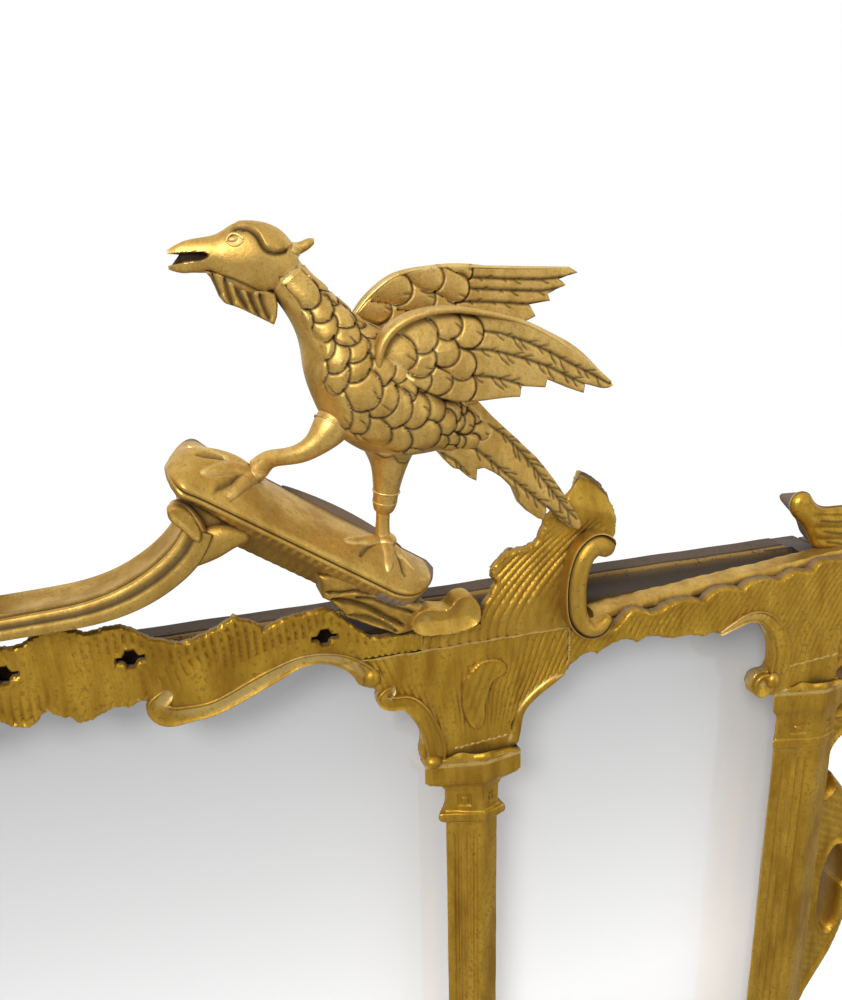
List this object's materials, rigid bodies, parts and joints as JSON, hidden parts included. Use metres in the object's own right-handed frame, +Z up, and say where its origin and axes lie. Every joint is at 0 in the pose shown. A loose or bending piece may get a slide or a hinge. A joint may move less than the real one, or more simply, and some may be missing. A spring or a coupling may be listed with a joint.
{
  "type": "overmantel mirror",
  "caption": "Carved gilt overmantel mirror with divided plates, fluted pilasters, scrolled cresting and perched birds, standing on a mantel shelf and screwed back to the wall.",
  "frame": {"origin": "middle of the back edge of the underside, where the mantel shelf meets the wall", "axes": "+X to the right seen from the front, +Y into the wall, +Z up; the front faces -Y"},
  "size_m": [1.6964, 0.103, 1.3308],
  "materials": {
    "gilt_wood": "worn water gilding",
    "carcase_wood": "dark stain",
    "backing_pine": "raw aged pine",
    "mirror_plate": "silvered plate",
    "wall_brass": "dull brass",
    "screw_steel": "bright iron"
  },
  "bodies": {
    "root": {"bottom_rail": "carcase_wood", "centre_backboard": "backing_pine", "centre_crest": "gilt_wood", "centre_frieze": "gilt_wood", "centre_glass": "mirror_plate", "glazing_blocks": "backing_pine", "left_backboard": "backing_pine", "left_bird_back_wing": "gilt_wood", "left_bird_body": "gilt_wood", "left_bird_front_wing": "gilt_wood", "left_bird_legs": "gilt_wood", "left_finial": "gilt_wood", "left_flame_crest": "gilt_wood", "left_flame_scroll": "gilt_wood", "left_frieze": "gilt_wood", "left_glass": "mirror_plate", "left_inner_base": "gilt_wood", "left_inner_capital": "gilt_wood", "left_inner_shaft": "gilt_wood", "left_inner_spandrel": "gilt_wood", "left_muntin": "carcase_wood", "left_outer_base": "gilt_wood", "left_outer_capital": "gilt_wood", "left_outer_shaft": "gilt_wood", "left_outer_spandrel": "gilt_wood", "left_perch": "gilt_wood", "left_perch_bracket": "gilt_wood", "left_side_scrollwork": "gilt_wood", "left_stile": "carcase_wood", "left_swan_neck_scroll": "gilt_wood", "left_top_moulding": "gilt_wood", "plinth_moulding": "gilt_wood", "right_backboard": "backing_pine", "right_bird_back_wing": "gilt_wood", "right_bird_body": "gilt_wood", "right_bird_front_wing": "gilt_wood", "right_bird_legs": "gilt_wood", "right_finial": "gilt_wood", "right_flame_crest": "gilt_wood", "right_flame_scroll": "gilt_wood", "right_frieze": "gilt_wood", "right_glass": "mirror_plate", "right_inner_base": "gilt_wood", "right_inner_capital": "gilt_wood", "right_inner_shaft": "gilt_wood", "right_inner_spandrel": "gilt_wood", "right_muntin": "carcase_wood", "right_outer_base": "gilt_wood", "right_outer_capital": "gilt_wood", "right_outer_shaft": "gilt_wood", "right_outer_spandrel": "gilt_wood", "right_perch": "gilt_wood", "right_perch_bracket": "gilt_wood", "right_side_scrollwork": "gilt_wood", "right_stile": "carcase_wood", "right_swan_neck_scroll": "gilt_wood", "right_top_moulding": "gilt_wood", "top_rail": "carcase_wood", "wall_plate_screws": "screw_steel", "wall_plates": "wall_brass"}
  },
  "joints": []
}
